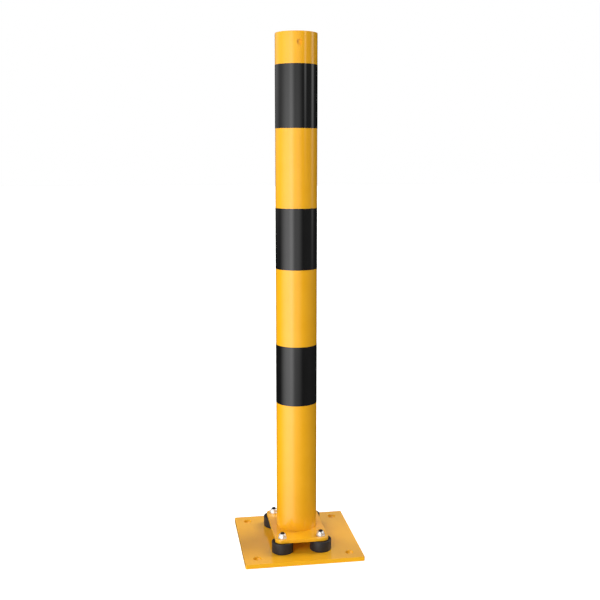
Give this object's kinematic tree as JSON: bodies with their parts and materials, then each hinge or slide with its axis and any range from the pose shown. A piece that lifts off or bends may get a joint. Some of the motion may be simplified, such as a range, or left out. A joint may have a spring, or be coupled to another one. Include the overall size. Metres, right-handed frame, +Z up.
{
  "type": "steel barrier post",
  "caption": "Round striped steel barrier post on a foot flange, carried on a square base plate by rubber buffers that let it give way when knocked.",
  "frame": {"origin": "middle of the base plate's underside, on the ground", "axes": "+Z up along the tube; -Y is the front, the side towards the picture's camera, with the hole near the top; +X to the right seen from the front"},
  "size_m": [0.22, 0.22, 0.95],
  "materials": {
    "yellow_coat": "glossy traffic yellow powder coat",
    "black_film": "glossy black adhesive film",
    "black_rubber": "moulded, satin",
    "zinc_steel": "bright zinc plated",
    "dark_steel": "phosphated, dark",
    "nylon": "natural nylon"
  },
  "bodies": {
    "base": {"base_plate": "yellow_coat", "countersunk_screws": "zinc_steel", "lower_disc_front_left": "zinc_steel", "lower_disc_front_right": "zinc_steel", "lower_disc_rear_left": "zinc_steel", "lower_disc_rear_right": "zinc_steel"},
    "buffers": {"rubber_front_left": "black_rubber", "rubber_front_right": "black_rubber", "rubber_rear_left": "black_rubber", "rubber_rear_right": "black_rubber"},
    "post": {"stud_disc_front_left": "dark_steel", "stud_disc_front_right": "dark_steel", "stud_disc_rear_left": "dark_steel", "stud_disc_rear_right": "dark_steel", "foot_flange": "yellow_coat", "washers": "zinc_steel", "lock_nuts": "zinc_steel", "nylon_rings": "nylon", "post_tube": "yellow_coat", "foot_weld": "yellow_coat", "top_lid": "yellow_coat", "lid_weld": "yellow_coat", "band_upper": "black_film", "band_middle": "black_film", "band_lower": "black_film"}
  },
  "joints": [
    {"name": "tilt_front_back", "type": "hinge", "parent": "base", "child": "buffers", "pos_m": [0, 0, 0.018], "axis": [1, 0, 0], "range_deg": [-3, 3], "stiffness_Nm_per_rad": 6000, "deforming": ["rubber_front_left", "rubber_front_right", "rubber_rear_left", "rubber_rear_right"]},
    {"name": "tilt_sideways", "type": "hinge", "parent": "buffers", "child": "post", "pos_m": [0, 0, 0.018], "axis": [0, 1, 0], "range_deg": [-5, 5], "stiffness_Nm_per_rad": 2100, "deforming": ["rubber_front_left", "rubber_front_right", "rubber_rear_left", "rubber_rear_right"]}
  ]
}
